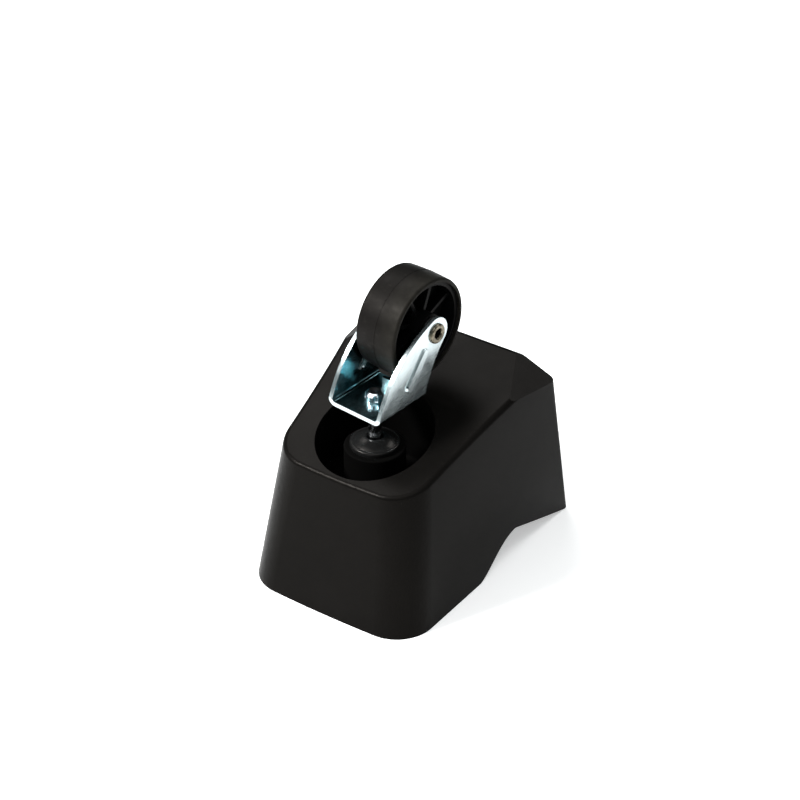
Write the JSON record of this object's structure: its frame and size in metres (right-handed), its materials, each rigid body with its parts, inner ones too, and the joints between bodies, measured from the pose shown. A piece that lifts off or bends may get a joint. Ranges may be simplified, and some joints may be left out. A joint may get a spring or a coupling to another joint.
{
  "type": "swivel caster foot",
  "caption": "Moulded wedge foot with a deep round well that holds a stem swivel caster, stored wheel up on its flat mating face.",
  "frame": {"origin": "centre of the footprint, on the flat mating face", "axes": "+Z from the mating face towards the wheel, -Y towards the narrow end with the well, X across the foot"},
  "size_m": [0.1048, 0.136, 0.15],
  "materials": {
    "housing_plastic": "fine moulded texture",
    "socket_plastic": "satin moulded nylon",
    "zinc_steel": "bright zinc plate, turned",
    "spring_steel": "plain spring steel",
    "zinc_sheet": "bright blue-white zinc plate on pressed sheet",
    "rivet_steel": "yellow-tinged plated steel",
    "washer_nylon": "plain nylon",
    "core_plastic": "satin moulded plastic",
    "tyre_rubber": "matte hard rubber with a fine seam",
    "insert_brass": "turned brass"
  },
  "bodies": {
    "foot": {"housing": "housing_plastic", "stem_socket": "socket_plastic", "threaded_insert_1": "insert_brass", "threaded_insert_2": "insert_brass", "threaded_insert_3": "insert_brass", "threaded_insert_4": "insert_brass"},
    "caster": {"stem": "zinc_steel", "grip_ring": "spring_steel", "fork": "zinc_sheet", "axle_rivet": "rivet_steel", "axle_sleeve": "spring_steel", "washer_left": "washer_nylon", "washer_right": "washer_nylon"},
    "wheel": {"wheel_core": "core_plastic", "tyre": "tyre_rubber"}
  },
  "joints": [
    {"name": "stem_swivel", "type": "hinge", "parent": "foot", "child": "caster", "pos_m": [0, -0.0248, 0.08], "axis": [0, 0, 1], "continuous": true},
    {"name": "wheel_spin", "type": "hinge", "parent": "caster", "child": "wheel", "pos_m": [0.00262, 0.00016, 0.125], "axis": [0.9945, -0.1045, 0], "continuous": true}
  ]
}
